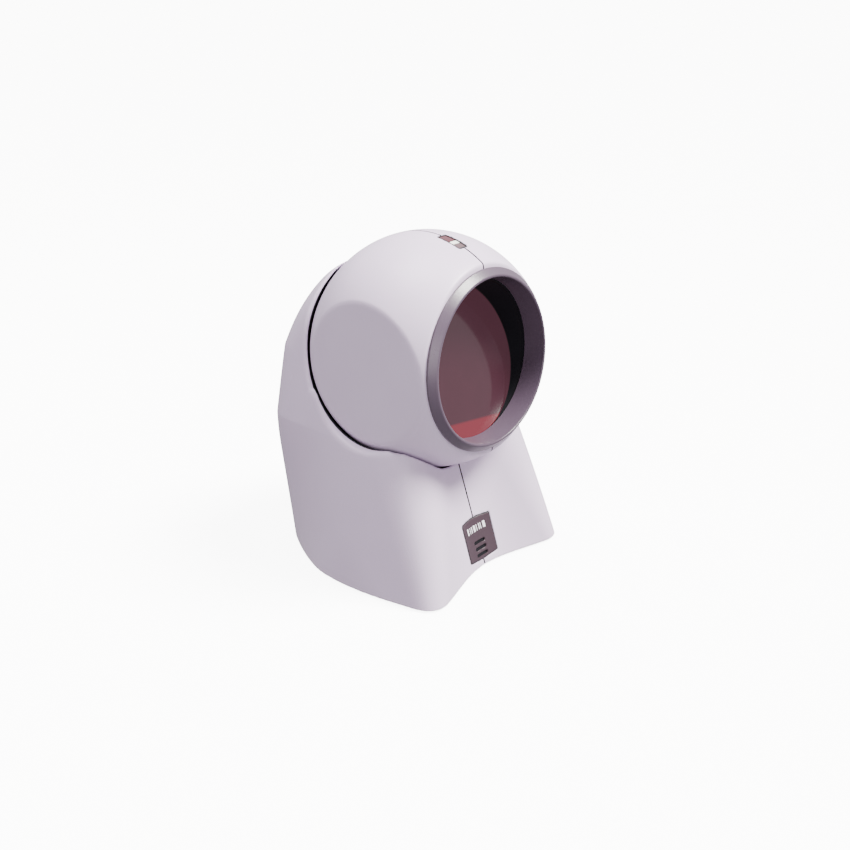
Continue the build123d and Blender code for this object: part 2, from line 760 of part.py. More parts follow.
# yoke that carries the head

yoke_reach = 70.0             # arms run past the base, then are cut off level
yoke_eye = 7.0
yoke_base_y, yoke_base_depth = 17.0, 28.0
yoke_screw_length = 10.0

with BuildPart() as yoke:
    for side in (-1, 1):
        add(arm_strip(side, yoke_width, 0, yoke_reach, yoke_thick))
        eye = Plane(origin=centre + across * (side * yoke_x - yoke_thick / 2), z_dir=across)
        add(tube(eye, yoke_eye, 0, yoke_thick))
    with BuildSketch(Plane.XY.offset(yoke_floor)):
        Rectangle(4 * ball_radius, 4 * ball_radius)
    extrude(amount=-ball_radius, mode=Mode.SUBTRACT)
    with BuildSketch(upright(yoke_floor, 0, yoke_base_y)):
        Rectangle(2 * yoke_x + yoke_thick, yoke_base_depth)
    extrude(amount=yoke_thick)
    for x, y in yoke_posts:
        add(tube(upright(yoke_floor, x, y), screw_radius + part_clear, 0, yoke_thick), mode=Mode.SUBTRACT)
    through = Plane(origin=centre - across * ball_radius, z_dir=across)
    add(tube(through, axle_radius + axle_fit, 0, 2 * ball_radius),
        mode=Mode.SUBTRACT)
save(yoke.part, "yoke")

with BuildPart() as yoke_screws:
    for x, y in yoke_posts:
        add(tube(upright(yoke_floor + yoke_thick, x, y), screw_head_radius, 0, screw_head_height))
        screw_end = upright(yoke_floor + yoke_thick - yoke_screw_length, x, y)
        add(tube(screw_end, screw_radius, 0, yoke_screw_length))
save(yoke_screws.part, "yoke_screws")


def along(side, x):
    """A plane square to the tilt axis, facing outward on one side of the head."""
    return Plane(origin=centre + across * side * x, z_dir=across * side)


with BuildPart() as axle_pins:
    for side in (-1, 1):
        head_x = yoke_x - yoke_thick / 2 - yoke_gap
        add(tube(along(side, head_x - screw_head_height), 5, 0, screw_head_height))
        add(tube(along(side, head_x), axle_radius, 0, boss_inner - head_x))
        add(tube(along(side, boss_inner), axle_thread, 0, axle_end - boss_inner - 0.2))
save(axle_pins.part, "axle_pins")

with BuildPart() as friction_washers:
    for side in (-1, 1):
        add(tube(along(side, washer_x), washer_radius, axle_radius + 0.1, washer_thick))
save(friction_washers.part, "friction_washers")

with BuildPart() as spring_washers:
    for side in (-1, 1):
        add(tube(along(side, washer_x + washer_thick), washer_radius - 0.5, axle_radius + 0.1, spring_thick))
save(spring_washers.part, "spring_washers")

# interface board and cable socket

with BuildPart() as interface_board:
    with BuildSketch(upright(board_low, 0, board_middle + 12)):
        Rectangle(36, 24)
    extrude(amount=board_thick)
save(interface_board.part, "interface_board")

socket_mouth = axis_y + floor_rear - 0.3

with BuildPart() as cable_socket:
    with BuildSketch(Plane.XZ.offset(-socket_mouth)):
        with Locations((0, socket_middle)):
            Rectangle(socket_width, socket_height)
    extrude(amount=socket_depth)
    with BuildSketch(Plane.XZ.offset(-socket_mouth)):
        with Locations((0, socket_middle)):
            Rectangle(socket_hole_width, socket_hole_height)
        with Locations((0, socket_middle - socket_hole_height / 2 - 1)):
            Rectangle(4, 2)
    extrude(amount=socket_hole_depth, mode=Mode.SUBTRACT)
save(cable_socket.part, "cable_socket")

contact_width, contact_high, contact_pitch, contact_count = 0.5, 0.8, 1.02, 10
contact_inset = 3.0           # the contacts start this far inside the socket's mouth

with BuildPart() as socket_contacts:
    with BuildSketch(Plane.XZ.offset(-socket_mouth + contact_inset)):
        with Locations((0, socket_middle + socket_hole_height / 2 - contact_high / 2)):
            with GridLocations(contact_pitch, 1, contact_count, 1):
                Rectangle(contact_width, contact_high)
    extrude(amount=socket_hole_depth - contact_inset)
save(socket_contacts.part, "socket_contacts")
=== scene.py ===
import bpy, bmesh, json
import numpy as np
from math import radians, sin, cos, tan, sqrt, pi
from mathutils import Vector, Matrix

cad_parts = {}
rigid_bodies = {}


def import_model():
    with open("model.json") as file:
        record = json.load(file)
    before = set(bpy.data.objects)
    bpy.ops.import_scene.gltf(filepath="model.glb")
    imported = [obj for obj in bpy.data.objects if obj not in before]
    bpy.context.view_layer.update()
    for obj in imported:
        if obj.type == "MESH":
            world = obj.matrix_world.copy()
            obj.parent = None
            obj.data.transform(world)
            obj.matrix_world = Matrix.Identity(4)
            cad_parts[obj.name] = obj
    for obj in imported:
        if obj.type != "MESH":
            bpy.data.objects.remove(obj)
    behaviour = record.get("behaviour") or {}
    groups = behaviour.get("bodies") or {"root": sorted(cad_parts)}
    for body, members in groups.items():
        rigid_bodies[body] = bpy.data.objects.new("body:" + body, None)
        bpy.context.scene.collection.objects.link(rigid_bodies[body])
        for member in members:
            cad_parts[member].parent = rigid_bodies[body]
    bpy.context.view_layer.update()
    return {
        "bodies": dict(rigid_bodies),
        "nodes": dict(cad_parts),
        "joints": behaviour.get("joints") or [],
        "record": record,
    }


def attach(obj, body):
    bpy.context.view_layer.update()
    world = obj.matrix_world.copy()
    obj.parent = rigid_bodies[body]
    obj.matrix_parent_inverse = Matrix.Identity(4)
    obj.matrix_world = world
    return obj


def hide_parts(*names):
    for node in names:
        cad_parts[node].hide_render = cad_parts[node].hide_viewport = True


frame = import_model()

print("frame loaded")

# where the head sits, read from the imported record

tiltJoint = next(j for j in frame["record"]["behaviour"]["joints"] if j["name"] == "head_tilt")
spinJoint = next(j for j in frame["record"]["behaviour"]["joints"] if j["name"] == "wheel_spin")
headCentre = np.array(tiltJoint["pos_m"])
lookAhead = np.array(spinJoint["axis"]) / np.linalg.norm(spinJoint["axis"])  # out of the scan opening
across = np.array([1.0, 0.0, 0.0])
headUp = np.cross(lookAhead, across)
mm = 0.001


def smoothMax(a, b, round):  # rounded meeting of two forms
    h = np.clip(0.5 + 0.5 * (a - b) / round, 0, 1)
    return b + (a - b) * h + round * h * (1 - h)


def smoothMin(a, b, round):
    return -smoothMax(-a, -b, round)


def inHead(x, y, z):  # row frame, millimetres, to the head's own across, ahead, up
    dx, dy, dz = x, y - headCentre[1] / mm, z - headCentre[2] / mm
    return dx, dy * lookAhead[1] + dz * lookAhead[2], dy * headUp[1] + dz * headUp[2]


# skinning a form: a net of quads over the level where shape() is zero

def skinForm(name, shape, low, high, step, polish=4):
    axes = [np.arange(l, h + step, step) for l, h in zip(low, high)]
    sizes = [len(a) for a in axes]
    field = shape(*np.meshgrid(*axes, indexing="ij"))
    inside = field < 0
    cells = tuple(n - 1 for n in sizes)
    corner = lambda a, i, j, k: a[i:i + cells[0], j:j + cells[1], k:k + cells[2]]
    total = sum(corner(inside, i, j, k).astype(np.int8) for i in (0, 1) for j in (0, 1) for k in (0, 1))
    active = np.argwhere((total > 0) & (total < 8))
    index = -np.ones(cells, np.int64)
    index[tuple(active.T)] = np.arange(len(active))
    place = np.zeros((len(active), 3))
    hits = np.zeros(len(active))
    for axis in range(3):
        others = [a for a in range(3) if a != axis]
        for p in (0, 1):
            for q in (0, 1):
                start = np.zeros(3, int)
                start[others[0]], start[others[1]] = p, q
                end = start.copy()
                end[axis] = 1
                a = field[tuple((active + start).T)]
                b = field[tuple((active + end).T)]
                crossed = (a < 0) != (b < 0)
                share = np.where(crossed, a / np.where(crossed, a - b, 1), 0)
                point = start + share[:, None] * (end - start)
                place += np.where(crossed[:, None], point, 0)
                hits += crossed
    place = np.array(low) + (active + place / hits[:, None]) * step
    faces = []
    for axis in range(3):
        u, v = [a for a in range(3) if a != axis]
        a = inside
        b = np.roll(inside, -1, axis)
        change = a != b
        cut = [slice(1, n - 1) for n in sizes]
        cut[axis] = slice(0, sizes[axis] - 1)
        where = np.argwhere(change[tuple(cut)]) + np.array([0 if i == axis else 1 for i in range(3)])
        quad = []
        for du, dv in ((1, 1), (0, 1), (0, 0), (1, 0)):
            cell = where.copy()
            cell[:, u] -= du
            cell[:, v] -= dv
            quad.append(index[tuple(cell.T)])
        quad = np.stack(quad, 1)
        flip = a[tuple(where.T)] == (axis == 1)
        quad[flip] = quad[flip][:, ::-1]
        faces.append(quad)
    faces = np.concatenate(faces)
    for _ in range(polish):  # slide each point onto the exact surface
        value, slope = formSlope(shape, place)
        move = -value[:, None] * slope / np.maximum((slope ** 2).sum(1), 1e-9)[:, None]
        length = np.linalg.norm(move, axis=1)[:, None]
        place += move * np.minimum(1, 0.6 * step / np.maximum(length, 1e-9))
    mesh = bpy.data.meshes.new(name)
    mesh.from_pydata((place * mm).tolist(), [], faces.tolist())
    return mesh


def formSlope(shape, p, eps=0.02):
    x, y, z = p.T
    value = shape(x, y, z)
    slope = np.stack([
        shape(x + eps, y, z) - shape(x - eps, y, z),
        shape(x, y + eps, z) - shape(x, y - eps, z),
        shape(x, y, z + eps) - shape(x, y, z - eps),
    ], 1) / (2 * eps)
    return value, slope


def halfOf(mesh, name, side, gap):  # keep one side of the middle seam and close the cut
    b = bmesh.new()
    b.from_mesh(mesh)
    edge = side * gap / 2 * mm
    geometry = b.verts[:] + b.edges[:] + b.faces[:]
    bmesh.ops.bisect_plane(b, geom=geometry, plane_co=(edge, 0, 0), plane_no=(-side, 0, 0), clear_outer=True)
    rims = [e for e in b.edges if e.is_boundary]
    # the closing faces take the second finish, near-black painted shade for the seam
    for face in bmesh.ops.holes_fill(b, edges=rims, sides=0)["faces"]:
        face.material_index = 1
    bmesh.ops.triangulate(b, faces=[f for f in b.faces if len(f.verts) > 4])
    bmesh.ops.recalc_face_normals(b, faces=b.faces)
    half = bpy.data.meshes.new(name)
    b.to_mesh(half)
    b.free()
    return half


def markShadeDepth(mesh, outer):  # how deep each point lies under the outside, millimetres; the plastics paint shade by this depth
    points = np.zeros(len(mesh.vertices) * 3)
    mesh.vertices.foreach_get("co", points)
    x, y, z = points.reshape(-1, 3).T / mm
    depth = mesh.attributes.new("sunk", "FLOAT", "POINT")
    depth.data.foreach_set("value", np.clip(-outer(x, y, z), 0, 5).astype(np.float32))


def addPiece(name, mesh, body, finishes, replaced=(), smoothAngle=35):
    piece = bpy.data.objects.new(name, mesh)
    bpy.context.scene.collection.objects.link(piece)
    places = [face.material_index for face in mesh.polygons]
    mesh.materials.clear()
    for finish in finishes if isinstance(finishes, list) else [finishes]:
        mesh.materials.append(finish)
    mesh.polygons.foreach_set("material_index", places)
    mesh.shade_smooth()
    mesh.set_sharp_from_angle(angle=radians(smoothAngle))
    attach(piece, body)
    if replaced:
        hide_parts(*replaced)
    return piece


# shader helpers

class Socket:  # a node's output that can be used in an expression
    def __init__(self, tree, out):
        self.tree, self.out = tree, out

    def maths(self, operation, a, b=None):
        node = self.tree.nodes.new("ShaderNodeMath")
        node.operation = operation
        for i, value in enumerate([a] if b is None else [a, b]):
            if isinstance(value, Socket):
                self.tree.links.new(value.out, node.inputs[i])
            else:
                node.inputs[i].default_value = value
        return Socket(self.tree, node.outputs[0])

    def __add__(self, other): return self.maths("ADD", self, other)
    def __radd__(self, other): return self.maths("ADD", other, self)
    def __sub__(self, other): return self.maths("SUBTRACT", self, other)
    def __rsub__(self, other): return self.maths("SUBTRACT", other, self)
    def __mul__(self, other): return self.maths("MULTIPLY", self, other)
    def __rmul__(self, other): return self.maths("MULTIPLY", other, self)
    def __truediv__(self, other): return self.maths("DIVIDE", self, other)
    def clamped(self): return self.maths("MAXIMUM", self.maths("MINIMUM", self, 1.0), 0.0)


class Finish:  # one material and its nodes
    def __init__(self, name):
        self.material = bpy.data.materials.new(name)
        self.material.use_nodes = True
        self.tree = self.material.node_tree
        self.shader = next(n for n in self.tree.nodes if n.type == "BSDF_PRINCIPLED")
        self.output = next(n for n in self.tree.nodes if n.type == "OUTPUT_MATERIAL")

    def node(self, kind, settings={}, inputs={}, out=0):
        node = self.tree.nodes.new(kind)
        for key, value in settings.items():
            if key == "stops":
                ramp = node.color_ramp
                while len(ramp.elements) < len(value):
                    ramp.elements.new(0.5)
                for element, (position, colour) in zip(ramp.elements, value):
                    element.position = position
                    element.color = (*colour, 1)
            else:
                setattr(node, key, value)
        for key, value in inputs.items():
            if isinstance(value, Socket):
                self.tree.links.new(value.out, node.inputs[key])
            else:
                node.inputs[key].default_value = value
        return Socket(self.tree, node.outputs[out])

    def position(self):  # the piece's own coordinates, in metres
        return self.node("ShaderNodeTexCoord", out="Object")

    def noise(self, scale, detail=3.0, roughness=0.55, vector=None):
        vector = vector or self.position()
        return self.node("ShaderNodeTexNoise", {}, {"Vector": vector, "Scale": scale, "Detail": detail,
                                                   "Roughness": roughness})

    def mixColour(self, share, a, b):
        return self.node("ShaderNodeMix", {"data_type": "RGBA"}, {0: share, 6: a, 7: b}, out=2)

    def bump(self, height, strength, distance, normal=None):
        inputs = {"Height": height, "Strength": strength, "Distance": distance}
        if normal:
            inputs["Normal"] = normal
        return self.node("ShaderNodeBump", {}, inputs)

    def set(self, **values):
        names = {"colour": "Base Color", "roughness": "Roughness", "metallic": "Metallic", "normal": "Normal",
                 "ior": "IOR", "coat": "Coat Weight", "coatRoughness": "Coat Roughness", "alpha": "Alpha",
                 "transmission": "Transmission Weight", "specular": "Specular IOR Level",
                 "sheen": "Sheen Weight", "emission": "Emission Color", "emissionStrength": "Emission Strength",
                 "subsurface": "Subsurface Weight"}
        for key, value in values.items():
            socket = self.shader.inputs[names[key]]
            if isinstance(value, Socket):
                self.tree.links.new(value.out, socket)
            elif isinstance(value, tuple):
                socket.default_value = (*value, 1)
            else:
                socket.default_value = value
        return self


def wornEdges(finish):  # where an edge has been rubbed
    bevel = finish.node("ShaderNodeNewGeometry", out="Pointiness")
    return finish.node("ShaderNodeValToRGB", {"stops": [(0.52, (0, 0, 0)), (0.60, (1, 1, 1))]}, {0: bevel})


def moulded(name, colour, dark, light, roughness, grain=2600, grainDepth=0.00006, dust=0.35):
    # spark-textured plastic: fine grain, slow colour drift, smears, a little dust, and painted shade deep in gaps
    f = Finish(name)
    where = f.position()
    drift = f.noise(18, 3, 0.5, where)
    smear = f.noise(75, 5, 0.65, where)
    fine = f.noise(grain, 2, 0.6, where)
    pits = f.node("ShaderNodeTexVoronoi", {"feature": "F1"}, {"Vector": where, "Scale": grain * 0.55})
    tone = f.node("ShaderNodeValToRGB", {"stops": [(0.3, dark), (0.7, light)]}, {0: drift})
    speck = f.node("ShaderNodeValToRGB", {"stops": [(0.60, (0, 0, 0)), (0.74, (1, 1, 1))]}, {0: f.noise(900, 2, 0.5, where)})
    base = f.mixColour((smear - 0.42).clamped() * 0.5, tone, (*colour, 1))
    dustWearAndShade = f.mixColour(speck * (0.10 * dust), base, tuple(min(1, c * 1.25) for c in colour) + (1,))
    rubbed = wornEdges(f)
    dustWearAndShade = f.mixColour(rubbed * 0.18, dustWearAndShade, tuple(min(1, c * 1.15) for c in colour) + (1,))
    # painted shade: points more than about 1 mm under the outside, in the gap round the ball and inside the shells,
    # turn near-black
    sunk = f.node("ShaderNodeAttribute", {"attribute_name": "sunk"}, out=2)
    dustWearAndShade = f.mixColour(((sunk - 0.9) * 3.0).clamped(), dustWearAndShade, (0.012, 0.012, 0.016, 1))
    rough = roughness + (smear - 0.5) * 0.16 + (fine - 0.5) * 0.08 - rubbed * 0.06
    first = f.bump(fine, 0.35, grainDepth)
    second = f.bump(pits, 0.25, grainDepth * 0.8, first)
    f.set(colour=dustWearAndShade, roughness=rough, normal=second, ior=1.47)
    return f.material


bodyPlastic = moulded("bodyPlastic", (0.655, 0.54, 0.70), (0.62, 0.505, 0.665), (0.665, 0.55, 0.71), 0.40)
ringPlastic = moulded("ringPlastic", (0.085, 0.06, 0.088), (0.075, 0.052, 0.078), (0.095, 0.068, 0.098), 0.30, dust=0.5)
blackPlastic = moulded("blackPlastic", (0.012, 0.012, 0.014), (0.008, 0.008, 0.010), (0.016, 0.016, 0.018), 0.38, dust=0.6)
darkPlastic = moulded("darkPlastic", (0.03, 0.03, 0.034), (0.022, 0.022, 0.025), (0.038, 0.038, 0.042), 0.5)
print("plastics made")


def redWindow():
    f = Finish("redWindow")
    where = f.position()
    smear = f.noise(60, 5, 0.65, where)
    parts = f.node("ShaderNodeSeparateXYZ", {}, {"Vector": where})
    across = Socket(f.tree, parts.out.node.outputs[0])
    height = Socket(f.tree, parts.out.node.outputs[2])
    low = (0.0718 - across * 0.124 - height) * 900  # painted highlight: a lit strip along the bottom, drawn as glow
    paintedLitStrip = low.clamped()
    tint = f.node("ShaderNodeValToRGB", {"stops": [(0.3, (0.012, 0.003, 0.005)), (0.7, (0.016, 0.004, 0.007))]}, {0: smear})
    paintedGlow = f.mixColour(paintedLitStrip, (0.072, 0.027, 0.039, 1), (0.30, 0.030, 0.045, 1))  # painted light: the window glows flat mauve, brighter in the strip, in place of its shading
    f.set(colour=tint, roughness=0.10 + smear * 0.03, ior=1.5, coat=0.3, coatRoughness=0.06,
          emission=paintedGlow, emissionStrength=1.0)
    return f.material


def plainFinish(name, colours, roughness, metallic=0.0, grain=900, depth=0.00003, **more):
    f = Finish(name)
    where = f.position()
    cloud = f.noise(45, 4, 0.6, where)
    fine = f.noise(grain, 3, 0.6, where)
    tone = f.node("ShaderNodeValToRGB", {"stops": [(0.3, colours[0]), (0.7, colours[1])]}, {0: cloud})
    f.set(colour=tone, roughness=roughness + (cloud - 0.5) * 0.15, metallic=metallic,
          normal=f.bump(fine, 0.3, depth), **more)
    return f.material


def brushedSteel():
    f = Finish("brushedSteel")
    stretched = f.node("ShaderNodeMapping", {}, {"Vector": f.position(), "Scale": (1, 1, 14)})
    streak = f.noise(420, 4, 0.6, stretched)
    tone = f.node("ShaderNodeValToRGB", {"stops": [(0.3, (0.42, 0.42, 0.43)), (0.7, (0.62, 0.62, 0.63))]}, {0: streak})
    f.set(colour=tone, roughness=0.28 + streak * 0.18, metallic=1.0, normal=f.bump(streak, 0.3, 0.00002))
    return f.material


rubber = plainFinish("rubber", [(0.018, 0.018, 0.019), (0.032, 0.032, 0.034)], 0.75, grain=1500, depth=0.00006)
silvered = plainFinish("silvered", [(0.82, 0.82, 0.85), (0.9, 0.9, 0.92)], 0.08, 1.0, depth=0.000004)
darkMetal = plainFinish("darkMetal", [(0.05, 0.05, 0.055), (0.08, 0.08, 0.085)], 0.45, 0.6)
brassFinish = plainFinish("brassFinish", [(0.62, 0.43, 0.17), (0.74, 0.54, 0.24)], 0.3, 1.0)
chipFinish = plainFinish("chipFinish", [(0.015, 0.015, 0.016), (0.03, 0.03, 0.032)], 0.5)
# near-white for the lamps, and a painted highlight on the light window's middle cell
lampWhiteAndHighlight = plainFinish("lampWhiteAndHighlight", [(0.75, 0.75, 0.70), (0.85, 0.85, 0.80)], 0.2)
boardFinish = plainFinish("boardFinish", [(0.012, 0.09, 0.035), (0.02, 0.13, 0.05)], 0.35, grain=2000, coat=0.4)
filterRed = plainFinish("filterRed", [(0.30, 0.01, 0.02), (0.38, 0.015, 0.03)], 0.12)
badgeFinish = moulded("badgeFinish", (0.040, 0.024, 0.033), (0.034, 0.020, 0.028), (0.047, 0.029, 0.039), 0.34, grain=3000)
markInk = plainFinish("markInk", [(0.72, 0.70, 0.74), (0.82, 0.80, 0.84)], 0.45)
lensFinish = plainFinish("lensFinish", [(0.085, 0.024, 0.034), (0.11, 0.034, 0.046)], 0.12, coat=0.6)
# painted shade: near-black for the seam's closing faces and for the ring in the gap round the badge
gapShadeDark = plainFinish("gapShadeDark", [(0.010, 0.010, 0.013), (0.016, 0.016, 0.020)], 0.7)
tunnelBlack = plainFinish("tunnelBlack", [(0.004, 0.004, 0.006), (0.007, 0.007, 0.010)], 0.55, specular=0.2)
smokedLens = plainFinish("smokedLens", [(0.10, 0.06, 0.07), (0.14, 0.09, 0.10)], 0.12, coat=0.6)
steel = brushedSteel()
windowRed = redWindow()
print("finishes made")

# the ball head

squat = {"share": 0.0515, "blend": 15.0}  # the lower half of the head is this much shallower


def unsquat(z):
    zz = z - headCentre[2] / mm
    return z - squat["share"] * (np.sqrt(zz ** 2 + squat["blend"] ** 2) - zz) / 2


def squatted(z):
    zz = z - headCentre[2] / mm
    share = squat["share"] / (1 + squat["share"])
    return z + share * (np.sqrt(zz ** 2 + squat["blend"] ** 2) - zz) / 2


ball = {
    "radius": 53.6, "reach": 51.0, "cheek": 41.2, "cheekRound": 0.8, "wall": 2.2,
    "flat": 33.2,  # flat front that carries the ring
    "hole": 37.6,
    "seam": 0.8, "step": 0.65,
    "lightAngle": 19.0, "lightLength": 12.9, "lightWidth": 6.1, "lightRound": 1.3,
    "slotX": 34.8, "slotHalf": 1.6, "slotLean": 19.9, "slotSpread": 25.7,
}


def ballForm(x, y, z, grow, cheekRound=None):
    round = cheekRound or ball["cheekRound"]
    dx, dy, dz = x, y - headCentre[1] / mm, unsquat(z) - headCentre[2] / mm
    a, b = ball["reach"] + grow, ball["radius"] + grow
    r = np.sqrt(dy ** 2 + dz ** 2)
    k = np.sqrt((dx / a) ** 2 + (r / b) ** 2)
    g = np.sqrt((dx / a ** 2) ** 2 + (r / b ** 2) ** 2) + 1e-9
    egg = k * (k - 1) / g  # close to a true distance
    return smoothMax(egg, np.abs(dx) - ball["cheek"] - grow, round)


def headShellForm(x, y, z):
    hx, hf, hu = inHead(x, y, unsquat(z))
    outer = smoothMax(ballForm(x, y, z, 0), hf - ball["flat"], 0.8)
    inner = np.maximum(ballForm(x, y, z, -ball["wall"]), hf - ball["flat"] + ball["wall"])
    shell = smoothMax(outer, -inner, 0.5)
    hole = np.maximum(np.sqrt(hx ** 2 + hu ** 2) - ball["hole"], 20 - hf)
    shell = smoothMax(shell, -hole, 0.5)
    a = radians(ball["lightAngle"])
    out, along = hf * sin(a) + hu * cos(a), hf * cos(a) - hu * sin(a)
    ex = np.abs(hx) - ball["lightWidth"] / 2 + ball["lightRound"]
    ey = np.abs(along) - ball["lightLength"] / 2 + ball["lightRound"]
    window = np.sqrt(np.maximum(ex, 0) ** 2 + np.maximum(ey, 0) ** 2) + np.minimum(np.maximum(ex, ey), 0) - ball["lightRound"]
    shell = smoothMax(shell, -np.maximum(window, 40 - out), 0.4)
    angle = np.arctan2(-hf, -hu)  # 0 straight down, growing backward
    spread = (np.abs(angle - radians(ball["slotLean"])) - radians(ball["slotSpread"])) * np.sqrt(hf ** 2 + hu ** 2)
    slot = np.maximum(np.abs(np.abs(hx) - ball["slotX"]) - ball["slotHalf"], spread)
    slot = np.maximum(slot, 20 - np.sqrt(hf ** 2 + hu ** 2))
    return smoothMax(shell, -slot, 0.4)


cy, cz = headCentre[1] / mm, headCentre[2] / mm
reach = ball["radius"] + 2
headMesh = skinForm("headShell", headShellForm, (-ball["cheek"] - 2, cy - reach, cz - reach),
                    (ball["cheek"] + 2, cy + reach, cz + reach), ball["step"])
for side, word in ((-1, "Left"), (1, "Right")):
    half = halfOf(headMesh, "headShell" + word, side, ball["seam"])
    markShadeDepth(half, lambda x, y, z: np.maximum(ballForm(x, y, z, 0), inHead(x, y, unsquat(z))[1] - ball["flat"]))
    addPiece("headShell" + word, half, "head", [bodyPlastic, gapShadeDark], ["head_shell_" + word.lower()])
bpy.data.meshes.remove(headMesh)
print("head shells made")

# turned pieces: the ring and the tunnel behind it


def turned(name, outline, rounds, around=192, arcSteps=5):
    # outline is (ahead, radius) points of a closed section; each corner gets its own round
    points = []
    count = len(outline)
    for i, (corner, round) in enumerate(zip(outline, rounds)):
        here = np.array(corner, float)
        before = np.array(outline[i - 1], float) - here
        after = np.array(outline[(i + 1) % count], float) - here
        lb, la = np.linalg.norm(before), np.linalg.norm(after)
        before, after = before / lb, after / la
        if round <= 0:
            points.append(here)
            continue
        cut = min(round, 0.45 * lb, 0.45 * la)
        start, end = here + before * cut, here + after * cut
        for s in np.linspace(0, 1, arcSteps + 1):
            points.append((1 - s) ** 2 * start + 2 * s * (1 - s) * here + s ** 2 * end)
    points = np.array(points)
    angles = np.linspace(0, 2 * pi, around, endpoint=False)
    verts = [headCentre + mm * (lookAhead * f + r * (across * cos(t) + headUp * sin(t))) for t in angles for f, r in points]
    n = len(points)
    faces = []
    for i in range(around):
        j = (i + 1) % around
        for k in range(n):
            faces.append((i * n + k, i * n + (k + 1) % n, j * n + (k + 1) % n, j * n + k))
    verts = [(v[0], v[1], squatted(v[2] / mm) * mm) for v in verts]
    mesh = bpy.data.meshes.new(name)
    mesh.from_pydata(verts, [], faces)
    b = bmesh.new()
    b.from_mesh(mesh)
    bmesh.ops.recalc_face_normals(b, faces=b.faces)
    b.to_mesh(mesh)
    b.free()
    return mesh


ring = {
    "outline": [(33.3, 40.2), (34.0, 40.25), (36.9, 37.3), (36.8, 36.3), (26.4, 35.4), (26.4, 37.3), (33.3, 37.3)],
    "rounds": [0.2, 0.5, 0.7, 0.6, 0.3, 0, 0],
}
ringMesh = turned("bezelRing", ring["outline"], ring["rounds"])
addPiece("bezelRing", ringMesh, "head", ringPlastic, ["bezel_ring"])
print("ring made")

# the stand

stand = {
    "skirtHalf": 45.59, "skirtFlare": 0.0136, "skirtSpread": 0.1979, "skirtBow": 0.0057,
    "skirtBowAt": -7.57, "skirtBowFade": 1.47, "hoodHalf": 42.40, "hoodFlare": 0.2041, "hoodLean": 0.1713,
    "hoodBow": 0.0028, "hoodBowAt": -4.75, "creaseRound": 3.16, "rearReach": 61.63, "rearBow": 0.0010,
    "rearClimb": 1.21, "rearDrop": -0.0499, "rearRound": 14.93, "valley": 34.71, "lean": 0.3556,
    "valleyCurve": 0.0105, "valleyCurveTop": 0.0241, "valleyWidth": 44.35, "toeRound": 11.61,
    "toeRoundTop": 19.88, "rearPower": 2.06, "rearBowTop": 0.0120,
    "halfWide": 55.2, "backFlat": 59.6, "backRound": 3.0, "gap": 1.0, "wall": 2.5, "edgeClear": 0.8,
    "sideCut": 32.8, "seam": 0.8, "step": 0.65,
    "mouthWide": 8.3, "mouthHigh": 6.6, "mouthMiddle": 15.0,
}


def outerForm(x, y, z):
    yy, zz, ax = y - cy, z - cz, np.abs(x)
    bow = stand["skirtBow"] * (yy - stand["skirtBowAt"]) ** 2 * np.clip(1 - stand["skirtBowFade"] * z / 96, 0, 2)
    skirt = ax + bow - stand["skirtHalf"] + stand["skirtFlare"] * (yy + 15.5) - stand["skirtSpread"] * (65.8 - z)
    hood = ax - stand["hoodHalf"] - stand["hoodFlare"] * (yy + 15.5) + stand["hoodLean"] * (z - 65.8)
    hood = hood + stand["hoodBow"] * np.maximum(yy - stand["hoodBowAt"], 0) ** 2
    body = smoothMax(skirt * 0.98, hood * 0.98, stand["creaseRound"] + 0.08 * np.maximum(yy - 5, 0))
    power, climb = stand["rearPower"], (zz + np.sqrt(zz ** 2 + 100)) / 2 * stand["rearClimb"]
    sweep = (np.maximum(yy, 0.01) ** power + climb ** power) ** (1 / power)
    narrow = (stand["rearBow"] + stand["rearBowTop"] * np.maximum(zz, 0) / 40) * x ** 2
    rear = sweep - stand["rearReach"] + narrow + stand["rearDrop"] * np.maximum(-zz, 0)
    body = smoothMax(body, rear, stand["rearRound"])
    rise = np.clip(z / 60, 0, 1.4)
    curve = stand["valleyCurve"] + (stand["valleyCurveTop"] - stand["valleyCurve"]) * rise
    front = stand["lean"] * z - stand["valley"] - curve * x ** 2 / (1 + (x / stand["valleyWidth"]) ** 2) - yy
    body = smoothMax(body, front * 0.93, stand["toeRound"] + stand["toeRoundTop"] * np.clip(z / 65, 0, 1.5))
    body = smoothMax(body, ax - stand["halfWide"], 3)
    return smoothMax(body, yy - stand["backFlat"], stand["backRound"])


def clearingForm(x, y, z):  # what the ball's open side takes away, seen from the side; under 0 is taken
    yy, zz = y - cy, z - cz
    disc = np.sqrt(yy ** 2 + zz ** 2) - stand["sideCut"]
    above = np.maximum(yy - 39.5 + 0.0085 * (zz - 14) ** 2, -14 - zz)
    before = np.maximum(yy + 16, -29.2 - 0.10 * (yy + 16) - zz)
    return smoothMin(smoothMin(disc, above, 3), before, 5)


badge = {
    "middle": 13.2, "halfWide": 9.6, "halfHigh": 9.0, "bow": 0.8, "corner": 0.5, "proud": 0.15, "thick": 1.5, "step": 0.28,
    "slotUp": [-1.75, -4.75, -7.75], "slotHalf": 3.85, "slotRound": 0.8,
    "barAcross": [-6.2, -4.5, -3.2, -1.3, 0.4, 2.0, 3.1, 5.2], "barHalf": [0.5, 0.25, 0.35, 0.7, 0.25, 0.35, 0.25, 0.8],
    "barUp": 4.9, "barHigh": 1.5, "barStep": 0.2,
}
badgeLean = np.arctan(stand["lean"])
badgeBack = cy - stand["valley"] + stand["lean"] * badge["middle"]


def onBadge(y, z):  # distance up the plate from its middle
    return (y - badgeBack) * sin(badgeLean) + (z - badge["middle"]) * cos(badgeLean)


